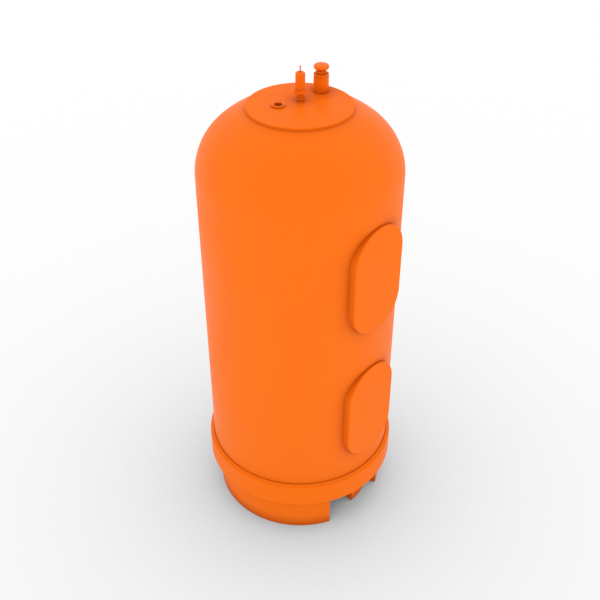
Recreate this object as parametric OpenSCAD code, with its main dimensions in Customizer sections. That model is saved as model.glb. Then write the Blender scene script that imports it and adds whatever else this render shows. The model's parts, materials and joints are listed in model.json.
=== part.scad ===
// Electric storage water heater with a moulded plastic jacket, in millimetres.
// +Z is up and the floor is z = 0. The tank's axis is the Z axis, and the access covers face -Y.

/* [Jacket] */
// Outside radius of the jacket
shell_r = 300; // [298:1:302]
// Thickness of the jacket wall
shell_t = 4; // [3:0.5:5]
// Height where the straight wall turns into the dome
shell_knuckle_z = 1212; // [1209:1:1215]
// Radius of the dome's shoulder
shell_shoulder_r = 183; // [180:1:186]
// Radius of the dome's crown
shell_crown_r = 365; // [363:1:368]
// Radius of the hole in the dome under the top cap
crown_hole_r = 140; // [136:1:142]

/* [Top cap] */
// Radius of the cap
cap_r = 151; // [148:1:154]
// Height of the cap's flat top
cap_top_z = 1414; // [1413:1:1416]
// Thickness of the cap's plate
cap_t = 5; // [4:0.5:5.5]
// Rounding of the cap's rim
cap_round = 2.5; // [1:0.5:3]

/* [Base] */
// Outside radius of the bowl's band
band_r = 314; // [312:1:316]
// Height of the bowl's underside
bowl_z = 140; // [138:1:142]
// Thickness of the bowl's floor
bowl_t = 10; // [8:1:11]
// Height where the band's outside turns into its lip
band_top_z = 216; // [212:1:218]
// Height of the lip's inner edge
lip_z = 228; // [224:1:230]
// Outside radius of the foot ring
foot_r = 283; // [280:1:286]
// Inside radius of the foot ring
foot_in_r = 225; // [222:1:228]
// Radius of the recessed wall beside the drain opening
recess_r = 250; // [246:1:254]
// Thickness of the foot ring's walls
foot_wall_t = 6; // [5:0.5:8]
// Half angle of the recess in the front of the foot ring
recess_half_a = 25.5; // [24:0.5:27]
// Number of ribs inside the foot ring
foot_rib_n = 20; // [12:1:24]

/* [Access covers] */
// Width of a cover
cover_w = 203; // [200:1:206]
// Height of a cover
cover_h = 355; // [352:1:358]
// Distance of a cover's flat face from the tank's axis
cover_face_y = 308; // [307:0.5:310]
// Thickness of a cover's wall
cover_t = 3; // [2:0.5:3]
// Chamfer round a cover's face
cover_bevel = 2.5; // [1.5:0.5:2.5]
// Height of the lower cover's middle
lower_cover_z = 476.5; // [474:0.5:479]
// Height of the upper cover's middle
upper_cover_z = 974; // [971:0.5:977]
// Width of the opening in the jacket behind a cover
well_w = 160; // [156:1:164]
// Height of the opening in the jacket behind a cover
well_h = 320; // [316:1:324]
// Thickness of the well's wall
well_t = 2.5; // [2:0.5:3]

/* [Tank] */
// Outside radius of the tank liner
tank_r = 238; // [236:1:240]
// Thickness of the tank liner
tank_t = 4; // [3:0.5:5]
// Height where the liner turns into its top end
tank_top_z = 1232; // [1230:1:1234]
// Height where the liner turns into its bottom end
tank_bottom_z = 285; // [283:1:287]
// Radius of the shoulder of the liner's ends
tank_shoulder_r = 65; // [62:1:68]
// Radius of the crown of the liner's ends
tank_crown_r = 390; // [385:1:395]
// Thickness of the wound glass fibre
winding_t = 6; // [5:0.5:6.5]
// Height of the top of the foam under the cap
foam_top_z = 1400; // [1398:1:1402]

/* [Top fittings] */
// Sideways place of the hot outlet
hot_x = -48; // [-52:1:-44]
// Depth place of the hot outlet
hot_y = 36; // [33:1:39]
// Outside radius of the hot outlet's collar
hot_collar_r = 19; // [18:0.5:20]
// Radius of the hot outlet's threaded hole
hot_hole_r = 12.35; // [12:0.05:13]
// Height of the hot outlet above the cap
hot_proud = 5; // [4:0.5:7]
// Sideways place of the relief valve
relief_x = 20; // [18:1:22]
// Depth place of the relief valve
relief_y = 18; // [16:1:20]
// Sideways place of the cold inlet valve
cold_x = 107; // [105:1:109]
// Depth place of the cold inlet valve
cold_y = 20; // [18:1:22]
// Direction of the valves' side outlets, from +X towards +Y
outlet_a = 44; // [40:1:48]
// Outside radius of the pipe spuds below the cap
spud_r = 17; // [16:0.5:18]

/* [Relief valve] */
// Radius of the ringed neck
relief_neck_r = 11.5; // [11:0.5:12]
// Height of the ringed neck above the cap
relief_neck_h = 22; // [21:1:23]
// Radius across the corners of the hexagonal collar
relief_hex_r = 19; // [18:0.5:20]
// Thickness of the hexagonal collar
relief_hex_t = 10; // [9:0.5:11]
// Radius of the bonnet
relief_bonnet_r = 13.5; // [13:0.5:14]
// Height of the bonnet's top above the cap
relief_bonnet_h = 81; // [80:1:83]
// Height of the stem's tip above the cap
relief_stem_h = 98.5; // [97:0.5:100]
// Radius of the stem
relief_stem_r = 1.75; // [1.5:0.05:2]
// Reach of the discharge outlet from the valve's axis
relief_outlet_l = 30; // [28:1:32]
// Radius of the discharge outlet's hole
relief_outlet_hole_r = 8.3; // [8:0.1:8.6]

/* [Cold inlet valve] */
// Radius of the valve's body
cold_body_r = 21.5; // [21:0.5:22]
// Height of the valve's body
cold_body_h = 52; // [51:1:53]
// Radius of the packing nut between body and knob
cold_nut_r = 15; // [14:0.5:16]
// Height of the packing nut's top above the cap
cold_nut_h = 62; // [61:1:63]
// Radius of the knob
cold_knob_r = 21.5; // [21:0.5:22]
// Height of the knob's top above the cap
cold_knob_h = 78; // [77:1:79]
// Radius of the spindle
cold_spindle_r = 4; // [3.5:0.5:4.5]
// Reach of the supply connection from the valve's axis
cold_supply_l = 30; // [29:1:31]
// Radius of the supply connection's threaded hole
cold_supply_hole_r = 11.7; // [11.5:0.1:12]

/* [Heating and control] */
// Height of the lower heating element
lower_element_z = 420; // [415:1:425]
// Height of the upper heating element
upper_element_z = 905; // [900:1:910]
// Length of a heating element inside the tank
element_l = 290; // [250:5:320]
// Height of the lower thermostat's middle
lower_thermostat_z = 520; // [518:1:524]
// Height of the upper thermostat's middle
upper_thermostat_z = 1030; // [1026:1:1034]
// Height of the supply conduit and its gland
conduit_z = 1090; // [1085:1:1095]

/* [Drain] */
// Height of the drain valve's axis
drain_z = 100; // [98:1:102]
// Direction of the drain valve, from -Y towards -X
drain_a = 12.75; // [12:0.25:13.5]
// Distance of the drain valve's ball from the tank's axis
drain_ball_s = 182; // [180:1:184]
// Distance of the drain outlet's end from the tank's axis
drain_end_s = 240; // [238:1:242]

/* [Hidden] */
$fn = 96;

jacket_colour = [1, 0.475, 0.133];
brass_colour = [0.78, 0.6, 0.3];
steel_colour = [0.72, 0.73, 0.75];
plastic_dark = [0.15, 0.15, 0.16];
eps = 0.01;
shoulder_steps = 24;                          // flats that follow a dome's shoulder
crown_steps = 16;                             // flats that follow a dome's crown
gap = 0.3;                                    // between curved faces that don't join
run = 0.05;                                   // running clearance of a shaft in its hole
far = 2000;

tank_mid_z = (tank_top_z + tank_bottom_z) / 2;
winding_r = tank_r + winding_t;               // outside radius of the wound tank
foam_out = shell_t + gap;                     // the foam's outside, inwards from the jacket's
spud_top_z = cap_top_z - 8;                   // spuds that end under the cap
seat_z = cap_top_z + 38;                      // relief valve's seat
chamber_z = cap_top_z + 12;                   // floor of the cold valve's chamber
supply_z = cap_top_z + 22;                    // axis of the cold supply connection
relief_outlet_z = cap_top_z + 47;             // axis of the discharge outlet
relief_bore_start = 9;                        // inner ends of the side bores, from the valves' axes
supply_bore_start = 13.5;
boss_face_y = winding_r + 8;                  // face of an element boss
gasket_t = 2.5;
hex_t = 13.5;                                 // thickness of an element's hexagon
plug_face_y = boss_face_y + gasket_t + hex_t;
block_t = 9;                                  // thickness of an element's terminal block
control_back_y = winding_r + 1;               // back of a thermostat
control_t = 22;                               // depth of a thermostat
control_face_y = control_back_y + control_t;
control_w = 50;                               // width of a thermostat
control_h = 62;                               // height of a thermostat
limit_h = 44;                                 // height of the high limit switch
limit_z = upper_thermostat_z + control_h / 2 + limit_h / 2 + 0.5;
screw_x = 21.4;                               // sideways place of a control's screws
dial_z_shift = -12;                           // dial's place on its thermostat
dial_r = 12;
dial_t = 5;
dial_pin_r = 3;
button_r = 4;
conduit_r = 9;
conduit_bore_r = 7.5;
conduit_path_r = 268;                         // radius of the supply conduit's arc
link_x = 45;
link_y = 268;
lever_l = 56;
lever_z = drain_z + 26;
ball_r = 14;
ball_bore_r = 8;
stem_r = 4;                                   // stem between the ball and the lever
pipe_r = 12;
pipe_bore_r = 9;
pipe_start_s = 23;                            // where the drain pipe starts in the elbow
drain_outlet_r = 8.5;                         // bore after the ball
drain_dir = [-sin(drain_a), -cos(drain_a)];
gland_hole_r = 14;                            // hole for the gland in the jacket
element_boss_r = 26;
conduit_start_a = 16;                         // angles where the supply conduit starts and ends
conduit_end_a = 84;
conduit_way_a = [8, 90];                      // angles of the conduit's way through foam and well
hot_spud_z = tank_top_z + 96;                 // undersides of the spuds inside the tank
relief_spud_z = tank_top_z + 102;
cold_spud_z = tank_top_z + 82;
relief_tail_z = cap_top_z - 26;               // lower end of the relief valve's tail
cold_tail_r = 13;
cold_tail_z = cap_top_z - 24;                 // lower end of the cold valve's tail
cold_shoulder_z = cap_top_z - 32;             // step in the cold spud that holds the dip tube

// ---- shared shapes -------------------------------------------------------------------

// Outline of a domed top in the half section, from the wall to the axis: a shoulder arc
// that runs smoothly into a crown arc.
function dome_outline(r, knuckle_z, shoulder, crown) =
    let (
        turn_a = acos((r - shoulder) / (crown - shoulder)),
        crown_z = dome_crown_z(r, knuckle_z, shoulder, crown)
    )
    concat(
        [for (i = [0:shoulder_steps - 1]) let (a = turn_a * i / shoulder_steps)
            [r - shoulder + shoulder * cos(a), knuckle_z + shoulder * sin(a)]],
        [for (i = [0:crown_steps]) let (a = turn_a + (90 - turn_a) * i / crown_steps)
            [crown * cos(a), crown_z + crown * sin(a)]]
    );

// Height of the centre of the crown's arc.
function dome_crown_z(r, knuckle_z, shoulder, crown) =
    knuckle_z - sqrt(pow(crown - shoulder, 2) - pow(r - shoulder, 2));

// Half section of a straight wall with a domed top.
module dome_area(r, knuckle_z, shoulder, crown, from_z) {
    polygon(concat([[0, from_z], [r, from_z]], dome_outline(r, knuckle_z, shoulder, crown)));
}

// Half section inside the jacket's outer surface, moved inwards by inset.
module jacket_area(inset) {
    dome_area(shell_r - inset, shell_knuckle_z, shell_shoulder_r - inset,
              shell_crown_r - inset, bowl_z + bowl_t + inset / 4);
}

// Half section inside the liner's outer surface, moved outwards by grow.
module tank_area(grow) {
    top = dome_outline(tank_r + grow, tank_top_z, tank_shoulder_r + grow, tank_crown_r + grow);
    n = len(top);
    polygon(concat(top, [for (i = [n - 1:-1:0]) [top[i][0], 2 * tank_mid_z - top[i][1]]]));
}

// Points of a round corner in a half section, going from angle a1 to a2.
function corner(r, z, round, a1, a2) =
    [for (i = [0:6]) let (a = a1 + (a2 - a1) * i / 6) [r + round * cos(a), z + round * sin(a)]];

// Round bar from z1 to z2 with rounded top and, if asked, bottom edges.
module rounded_bar(r, z1, z2, top, bottom = 0) {
    rotate_extrude() polygon(concat(
        [[0, z1]],
        bottom > 0 ? corner(r - bottom, z1 + bottom, bottom, -90, 0) : [[r, z1]],
        corner(r - top, z2 - top, top, 0, 90),
        [[0, z2]]
    ));
}

module bar(r, z1, z2) {
    translate([0, 0, z1]) cylinder(r = r, h = z2 - z1);
}

// Prism along -Y whose outline has straight sides and half round ends.
module stadium(w, h, y1, y2, z) {
    translate([0, -y1, z]) rotate([90, 0, 0]) linear_extrude(y2 - y1) {
        square([w, h - w], center = true);
        for (s = [-1, 1]) translate([0, s * (h - w) / 2]) circle(d = w);
    }
}

// Cylinder along -Y between two distances from the tank's axis.
module front_bar(r, y1, y2, x, z, sides = 96) {
    translate([x, -y1, z]) rotate([90, 0, 0]) cylinder(r = r, h = y2 - y1, $fn = sides);
}

// Box along -Y between two distances from the tank's axis.
module front_block(w, h, y1, y2, x, z) {
    translate([x - w / 2, -y2, z - h / 2]) cube([w, y2 - y1, h]);
}

module at_hot() { translate([hot_x, hot_y, 0]) children(); }
module at_relief() { translate([relief_x, relief_y, 0]) children(); }
module at_cold() { translate([cold_x, cold_y, 0]) children(); }

// Turns +X to the side outlets' direction.
module towards_outlet(z) { translate([0, 0, z]) rotate([0, 0, outlet_a]) children(); }

// Cylinder along +X.
module side_bar(r, x1, x2) { translate([x1, 0, 0]) rotate([0, 90, 0]) cylinder(r = r, h = x2 - x1); }

// Cylinder along the drain valve's direction, between two distances from the tank's axis.
module drain_bar(r, s1, s2) {
    translate([0, 0, drain_z]) rotate([0, 0, -90 - drain_a]) side_bar(r, s1, s2);
}

function unit(v) = v / norm(v);
function curve_point(a, b, c, d, t) =
    0.5 * (2 * b + (c - a) * t + (2 * a - 5 * b + 4 * c - d) * t * t
    + (3 * b - a - 3 * c + d) * t * t * t);

// Smooth path through the points, with steps on each stretch.
function smooth(p, steps) = let (n = len(p)) concat(
    [for (i = [0:n - 2], k = [0:steps - 1])
        curve_point(p[max(i - 1, 0)], p[i], p[i + 1], p[min(i + 2, n - 1)], k / steps)],
    [p[n - 1]]
);

// Round wire along a path that never runs along the side direction.
module wire(path, r, side, sides = 8) {
    n = len(path);
    rings = [for (i = [0:n - 1])
        let (
            t = unit(path[min(i + 1, n - 1)] - path[max(i - 1, 0)]),
            u = unit(cross(t, side)),
            v = cross(t, u)
        )
        for (k = [0:sides - 1]) path[i] + r * (cos(360 * k / sides) * u + sin(360 * k / sides) * v)];
    faces = [for (i = [0:n - 2], k = [0:sides - 1], half = [0, 1])
        let (m = (k + 1) % sides, a = i * sides, b = a + sides)
            half == 0 ? [a + k, a + m, b + m] : [a + k, b + m, b + k]];
    first = [for (k = [sides - 1:-1:0]) k];
    last = [for (k = [0:sides - 1]) (n - 1) * sides + k];
    polyhedron(rings, concat([first], faces, [last]));
}

// ---- jacket and base -------------------------------------------------------------------

module outer_shell() {
    color(jacket_colour) difference() {
        rotate_extrude() difference() {
            jacket_area(0);
            translate([0, -eps]) jacket_area(shell_t);
            translate([0, bowl_z]) square([shell_r - shell_t, bowl_t * 2]);
            translate([0, cap_top_z - 100]) square([crown_hole_r, 200]);
        }
        for (z = [lower_cover_z, upper_cover_z])
            stadium(well_w, well_h, shell_r - 60, shell_r + 20, z);
        translate([0, 0, conduit_z]) side_bar(gland_hole_r, shell_r - 20, shell_r + 20);
    }
}

module top_cap() {
    crown_z = dome_crown_z(shell_r, shell_knuckle_z, shell_shoulder_r, shell_crown_r);
    skirt_w = 4;
    skirt_h = 20;
    spigot_gap = 0.5;
    color(jacket_colour) difference() {
        rotate_extrude() polygon(concat(
            [[0, cap_top_z - cap_t], [cap_r - skirt_w, cap_top_z - cap_t]],
            [[cap_r - skirt_w, cap_top_z - skirt_h], [cap_r, cap_top_z - skirt_h]],
            corner(cap_r - cap_round, cap_top_z - cap_round, cap_round, 0, 90),
            [[0, cap_top_z]]
        ));
        translate([0, 0, crown_z]) difference() {
            sphere(shell_crown_r + gap, $fn = 360);
            bar(crown_hole_r - spigot_gap, 0, far);
        }
        at_hot() bar(hot_collar_r + gap, 0, far);
        at_relief() bar(relief_neck_r + gap, 0, far);
        at_cold() bar(cold_tail_r + gap, 0, far);
    }
}

module base_bowl() {
    inner_r = shell_r + gap;
    lip_w = 3;
    color(jacket_colour) difference() {
        rotate_extrude() polygon(concat(
            [[0, bowl_z]],
            corner(band_r - 3, bowl_z + 3, 3, -90, 0),
            corner(band_r - 8, band_top_z - 2, 8, 0, 45),
            [[inner_r + lip_w, lip_z - 1], [inner_r + lip_w - 1, lip_z], [inner_r, lip_z]],
            [[inner_r, bowl_z + bowl_t], [0, bowl_z + bowl_t]]
        ));
        bar(spud_r + 3, 0, far);
        for_base_screws() bar(4.3, 0, far);
    }
}

// Places of the screws that hold the bowl on the foot ring.
module for_base_screws() {
    for (a = [45:54:315]) rotate([0, 0, a]) translate([0, -(foot_r + foot_in_r) / 2, 0]) children();
}

// Plan of a wedge between two angles, measured from the front (-Y) towards +X.
module wedge(a1, a2) {
    polygon([[0, 0], for (a = [a1, (a1 + a2) / 2, a2]) [far * sin(a), -far * cos(a)]]);
}

module ring_plan(r1, r2) {
    difference() {
        circle(r2);
        circle(r1);
    }
}

// Open-topped channel: the drain opening goes right through on the left of the recess, and a
// set-back wall closes the recess on its right.
module foot_ring() {
    rib_t = 5;
    floor_t = 8;
    wall = foot_wall_t;
    wall_a = 1.4;
    color(jacket_colour) difference() {
        linear_extrude(bowl_z) difference() {
            ring_plan(foot_in_r, foot_r);
            wedge(-recess_half_a, 0);
            difference() {
                wedge(-1, recess_half_a);
                circle(recess_r);
            }
        }
        translate([0, 0, floor_t]) linear_extrude(far) difference() {
            union() {
                difference() {
                    ring_plan(foot_in_r + wall, foot_r - wall);
                    wedge(-recess_half_a - wall_a, recess_half_a + wall_a);
                }
                intersection() {
                    ring_plan(foot_in_r + wall, recess_r - wall);
                    wedge(wall_a, recess_half_a + 2 * wall_a);
                }
            }
            for (i = [1:foot_rib_n - 1])
                rotate(recess_half_a + i * (360 - 2 * recess_half_a) / foot_rib_n)
                    translate([-rib_t / 2, -foot_r]) square([rib_t, foot_r - foot_in_r]);
            for_base_screws() circle(9);
        }
        for_base_screws() bar(3.5, bowl_z - 45, far);
    }
}

module base_screws() {
    color(steel_colour) for_base_screws() {
        bar(3.4, bowl_z - 40, bowl_z + bowl_t + 0.5);
        translate([0, 0, bowl_z + bowl_t]) cylinder(r = 8, h = 5, $fn = 6);
    }
}

// ---- tank and insulation -------------------------------------------------------------------

// The holes that the pipe spuds need in the foam, the winding and the liner.
module spud_holes(grow) {
    at_hot() bar(spud_r + grow, tank_mid_z, far);
    at_relief() bar(spud_r + grow, tank_mid_z, far);
    at_cold() bar(spud_r + grow, tank_mid_z, far);
    bar(spud_r + grow, -eps, tank_mid_z);
}

module element_holes(r) {
    for (z = [lower_element_z, upper_element_z]) front_bar(r, 100, 400, 0, z);
}

module foam_insulation() {
    color([0.93, 0.87, 0.68]) difference() {
        rotate_extrude() difference() {
            jacket_area(foam_out);
            tank_area(winding_t + gap);
            translate([0, foam_top_z]) square([crown_hole_r, far]);
        }
        spud_holes(gap);
        for_base_screws() bar(9, 0, bowl_z + bowl_t + 7);
        for (z = [lower_cover_z, upper_cover_z])
            stadium(well_w, well_h, 150, shell_r + 20, z);
        conduit_body(conduit_r + gap, conduit_way_a[0], conduit_way_a[1]);
        translate([link_x, -link_y, 0]) bar(conduit_r + gap, lower_cover_z, upper_cover_z);
        translate([0, 0, conduit_z]) side_bar(gland_hole_r + 6, conduit_path_r - 14, far);
    }
}

module tank_liner() {
    color([0.85, 0.84, 0.8]) difference() {
        rotate_extrude() difference() {
            tank_area(0);
            tank_area(-tank_t);
        }
        spud_holes(gap);
        element_holes(element_boss_r + gap);
    }
}

module tank_winding() {
    color([0.8, 0.78, 0.62]) difference() {
        rotate_extrude() difference() {
            tank_area(winding_t);
            tank_area(gap);
        }
        spud_holes(gap);
        element_holes(element_boss_r + gap);
    }
}

// Pipe spud moulded into the tank's top: a flange inside, a bore wide above and narrow below.
module spud(bottom_z, top_z, wide_r, narrow_r, shoulder_z) {
    flange_r = 24;
    flange_t = 5;
    difference() {
        union() {
            bar(spud_r, bottom_z, top_z);
            bar(flange_r, bottom_z, bottom_z + flange_t);
        }
        bar(narrow_r, 0, far);
        bar(wide_r, shoulder_z, far);
    }
}

module hot_outlet_spud() {
    top_z = cap_top_z + hot_proud;
    color(jacket_colour) at_hot() {
        spud(hot_spud_z, cap_top_z - 6, hot_hole_r, 10, top_z - 24);
        difference() {
            rounded_bar(hot_collar_r, cap_top_z - 6, top_z, 1);
            bar(hot_hole_r, 0, far);
        }
    }
}

module relief_valve_spud() {
    color(brass_colour) at_relief()
        spud(relief_spud_z, spud_top_z, relief_neck_r + 0.1, 9, relief_tail_z);
}

module cold_inlet_spud() {
    color(brass_colour) at_cold()
        spud(cold_spud_z, spud_top_z, cold_tail_r + 0.1, 10.5, cold_shoulder_z);
}

module drain_spud() {
    end_h = tank_crown_r - tank_top_z
            + dome_crown_z(tank_r, tank_top_z, tank_shoulder_r, tank_crown_r);
    floor_z = tank_bottom_z - end_h + tank_t;
    color(brass_colour) difference() {
        union() {
            bar(spud_r, bowl_z - 8, floor_z + 7);
            bar(24, floor_z + 1.2, floor_z + 7);
        }
        bar(pipe_r + 0.1, 0, bowl_z + 20);
        bar(pipe_bore_r, 0, far);
    }
}

module hot_heat_trap() {
    bottom_z = hot_spud_z - 4;
    color([0.2, 0.35, 0.75]) at_hot() difference() {
        union() {
            bar(9.8, bottom_z, bottom_z + 55);
            bar(11.5, bottom_z, bottom_z + 3);
        }
        bar(8, 0, far);
    }
}

module dip_tube() {
    wall = 1.5;
    tube_r = 9;
    color([0.9, 0.9, 0.86]) at_cold() difference() {
        union() {
            bar(tube_r, tank_bottom_z + 20, cold_shoulder_z + 4);
            bar(cold_tail_r - 0.4, cold_shoulder_z, cold_shoulder_z + 4);
        }
        bar(tube_r - wall, 0, far);
        bar(3, tank_bottom_z, tank_bottom_z + 1);
    }
}

// ---- relief valve -------------------------------------------------------------------

module relief_valve_body() {
    ring_pitch = 10;
    ring_h = 6.4;
    groove_d = 2;
    hex_z = cap_top_z + relief_neck_h;
    spigot_r = relief_bonnet_r - 3.5;
    color(jacket_colour) at_relief() difference() {
        union() {
            bar(relief_neck_r - groove_d, relief_tail_z, hex_z + 1);
            bar(relief_neck_r, relief_tail_z, cap_top_z + 1);
            for (z = [cap_top_z + 3:ring_pitch:hex_z - ring_h]) bar(relief_neck_r, z, z + ring_h);
            intersection() {
                translate([0, 0, hex_z]) cylinder(r = relief_hex_r, h = relief_hex_t, $fn = 6);
                rounded_bar(relief_hex_r - 0.5, hex_z, hex_z + relief_hex_t, 1.5, 1.5);
            }
            bar(spigot_r, hex_z + 1, seat_z);
        }
        bar(6, 0, far);
    }
}

module relief_valve_bonnet() {
    bottom_z = cap_top_z + relief_neck_h + relief_hex_t;
    top_z = cap_top_z + relief_bonnet_h;
    wall = 3.4;
    color(jacket_colour) at_relief() difference() {
        union() {
            rounded_bar(relief_bonnet_r, bottom_z, top_z, 5);
            towards_outlet(relief_outlet_z)
                side_bar(relief_outlet_hole_r + 3.2, 0, relief_outlet_l);
        }
        bar(relief_bonnet_r - wall, 0, top_z - 6);
        bar(relief_stem_r + run, 0, far);
        towards_outlet(relief_outlet_z) side_bar(relief_outlet_hole_r, relief_bore_start, far);
    }
}

module relief_valve_stem() {
    tip_r = 2.4;
    color(jacket_colour) at_relief() {
        bar(relief_stem_r, seat_z + 2, cap_top_z + relief_stem_h - 2);
        bar(8.5, seat_z + 0.1, seat_z + 4);
        rounded_bar(tip_r, cap_top_z + relief_stem_h - 5, cap_top_z + relief_stem_h, 1.6, 1.6);
    }
}

module relief_valve_spring() {
    turns = 6;
    steps = 12;
    wire_r = 0.8;
    coil_r = 6;
    z1 = seat_z + 4.3 + wire_r;
    z2 = cap_top_z + relief_bonnet_h - 6.5 - wire_r;
    color(steel_colour) at_relief() wire(
        [for (i = [0:turns * steps]) let (a = 360 * i / steps)
            [coil_r * cos(a), coil_r * sin(a), z1 + (z2 - z1) * i / turns / steps]],
        wire_r, [0, 0, 1]
    );
}

module relief_valve_probe() {
    color([0.75, 0.5, 0.35]) at_relief() {
        rounded_bar(4, relief_spud_z - 90, relief_tail_z - 2, 1, 3);
        for (a = [0:120:240]) rotate([0, 0, a]) translate([0, -1, relief_tail_z - 10]) cube([8.7, 2, 6]);
    }
}

// ---- cold inlet valve -------------------------------------------------------------------

module cold_valve_body() {
    top_z = cap_top_z + cold_body_h;
    groove_z = top_z - 7;
    boss_r = cold_supply_hole_r + 4.3;
    color(jacket_colour) at_cold() difference() {
        union() {
            rounded_bar(cold_body_r, cap_top_z + 0.1, top_z, 1.5, 1);
            bar(cold_tail_r, cold_tail_z, cap_top_z + 1);
            towards_outlet(supply_z) side_bar(boss_r, 0, cold_supply_l);
        }
        rotate_extrude() translate([cold_body_r - 1.2, groove_z]) square([5, 2]);
        bar(cold_nut_r, chamber_z, top_z - 8);
        bar(cold_nut_r - 3, chamber_z, far);
        bar(8, 0, far);
        towards_outlet(supply_z) side_bar(cold_supply_hole_r, supply_bore_start, far);
    }
}

module cold_valve_packing_nut() {
    body_top = cap_top_z + cold_body_h;
    nut_top = cap_top_z + cold_nut_h;
    color(jacket_colour) at_cold() difference() {
        union() {
            bar(cold_nut_r - 3.1, body_top - 14, body_top + 1);
            rounded_bar(cold_nut_r, body_top + 0.05, nut_top, 1);
        }
        bar(cold_spindle_r + run, 0, far);
    }
}

module cold_valve_spindle() {
    color(brass_colour) at_cold() {
        bar(cold_spindle_r, chamber_z + 12, cap_top_z + cold_knob_h - 5);
        bar(cold_spindle_r + 2, cap_top_z + cold_body_h - 17, cap_top_z + cold_body_h - 14.2);
    }
}

module cold_valve_washer() {
    color([0.12, 0.12, 0.12]) at_cold() difference() {
        rounded_bar(10.5, chamber_z + 0.2, chamber_z + 16, 1);
        bar(cold_spindle_r + run, chamber_z + 6, far);
    }
}

module cold_valve_knob() {
    bottom_z = cap_top_z + cold_nut_h + 0.4;
    top_z = cap_top_z + cold_knob_h;
    dish = 1.2;
    color(jacket_colour) at_cold() difference() {
        rotate_extrude() polygon(concat(
            [[0, bottom_z], [9, bottom_z], [12, bottom_z + 2.5], [cold_knob_r - 6, bottom_z + 2.5]],
            corner(cold_knob_r - 5, bottom_z + 7.5, 5, -80, 0),
            corner(cold_knob_r - 5, top_z - 5 - dish, 5, 0, 80),
            [[cold_knob_r * 0.5, top_z - dish * 0.3], [0, top_z]]
        ));
        bar(cold_spindle_r, 0, top_z - 5);
    }
}

// ---- wells, elements and controls -------------------------------------------------------------------

module well(z) {
    color([0.3, 0.3, 0.32]) difference() {
        intersection() {
            stadium(well_w - 2 * gap, well_h - 2 * gap, 150, shell_r + 20, z);
            difference() {
                bar(shell_r - shell_t - gap, z - well_h, z + well_h);
                bar(winding_r + gap, z - well_h - 1, z + well_h + 1);
            }
        }
        stadium(well_w - 2 * well_t, well_h - 2 * well_t, 140, shell_r + 30, z);
        translate([link_x, -link_y, 0]) bar(conduit_r + gap, lower_cover_z, upper_cover_z);
        conduit_body(conduit_r + gap, conduit_way_a[0], conduit_way_a[1]);
    }
}

module element_boss(z) {
    color(brass_colour) difference() {
        union() {
            front_bar(element_boss_r, winding_r - 22, boss_face_y, 0, z);
            front_bar(element_boss_r + 6, winding_r + 1, boss_face_y, 0, z);
        }
        front_bar(17, 100, 400, 0, z);
    }
}

module element_gasket(z) {
    color([0.1, 0.1, 0.1]) difference() {
        front_bar(21, boss_face_y + 0.02, boss_face_y + gasket_t - 0.02, 0, z);
        front_bar(17.1, 100, 400, 0, z);
    }
}

module element_plug(z) {
    color(steel_colour) {
        front_bar(16.8, winding_r - 20, boss_face_y + gasket_t + 1, 0, z);
        intersection() {
            front_bar(22, boss_face_y + gasket_t, plug_face_y, 0, z, 6);
            front_bar(21.3, boss_face_y, plug_face_y + 5, 0, z);
        }
    }
}

// Terminal block with its two screws, on the element's hexagon.
module element_terminals(z) {
    color([0.2, 0.18, 0.16]) {
        front_bar(14, plug_face_y, plug_face_y + block_t - 3, 0, z);
        front_block(3, 26, plug_face_y, plug_face_y + block_t, 0, z);
        for (s = [-1, 1]) front_bar(3.6, plug_face_y + 1, plug_face_y + block_t, s * 8, z);
    }
}

// Hairpin sheath: two legs joined by a half turn inside the tank.
module element_sheath(z) {
    leg_r = 4;
    half = 8.5;
    end_y = winding_r - 20 - element_l;
    color([0.55, 0.56, 0.58]) {
        for (s = [-1, 1]) front_bar(leg_r, end_y, winding_r - 20, 0, z + s * half);
        translate([0, -end_y, z]) rotate([0, 90, 0]) rotate_extrude(angle = 180)
            translate([half, 0]) circle(leg_r, $fn = 48);
    }
}

module thermostat(z) {
    color([0.16, 0.15, 0.14]) difference() {
        union() {
            front_block(control_w, control_h, control_back_y, control_face_y - 4, 0, z);
            front_block(control_w - 14, control_h - 8, control_back_y, control_face_y, 0, z);
        }
        front_bar(dial_pin_r + run, control_face_y - 12, far, 0, z + dial_z_shift);
    }
}

module high_limit_switch() {
    color([0.16, 0.15, 0.14]) difference() {
        union() {
            front_block(control_w, limit_h, control_back_y, control_face_y - 4, 0, limit_z);
            front_bar(15, control_back_y, control_face_y, 0, limit_z);
        }
        front_bar(button_r + run, control_face_y - 12, far, 0, limit_z);
    }
}

module temperature_dial(z) {
    color([0.86, 0.84, 0.78]) translate([0, 0, dial_z_shift]) difference() {
        union() {
            front_bar(dial_r, control_face_y + 0.3, control_face_y + dial_t, 0, z);
            front_bar(dial_pin_r, control_face_y - 11.5, control_face_y + 1, 0, z);
        }
        front_block(2, 16, control_face_y + dial_t - 1.8, far, 0, z);
    }
}

module reset_button() {
    color([0.75, 0.08, 0.06]) {
        front_bar(button_r, control_face_y - 8, control_face_y + 2.6, 0, limit_z);
        front_bar(button_r - 0.8, control_face_y + 2, control_face_y + 3.4, 0, limit_z);
    }
}

// Spring plate that hooks over the element's hexagon and presses the controls to the tank.
module thermostat_bracket(z, control_z, h) {
    y1 = boss_face_y + gasket_t + 3;
    y2 = y1 + 1.2;
    arm_w = 8;
    plate_w = control_w + 2 * arm_w + 1;
    top = control_z + h / 2 + 6;
    color(steel_colour) difference() {
        union() {
            for (s = [-1, 1]) front_block(
                arm_w, top - z + 24, y1, y2, s * (control_w + arm_w + 1) / 2, (top + z - 24) / 2
            );
            front_block(plate_w, 6, y1, y2, 0, top + 3);
            front_block(plate_w, 8, y1, y2, 0, z - 28);
        }
        front_bar(22.5, 0, far, 0, z);
    }
}

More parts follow.
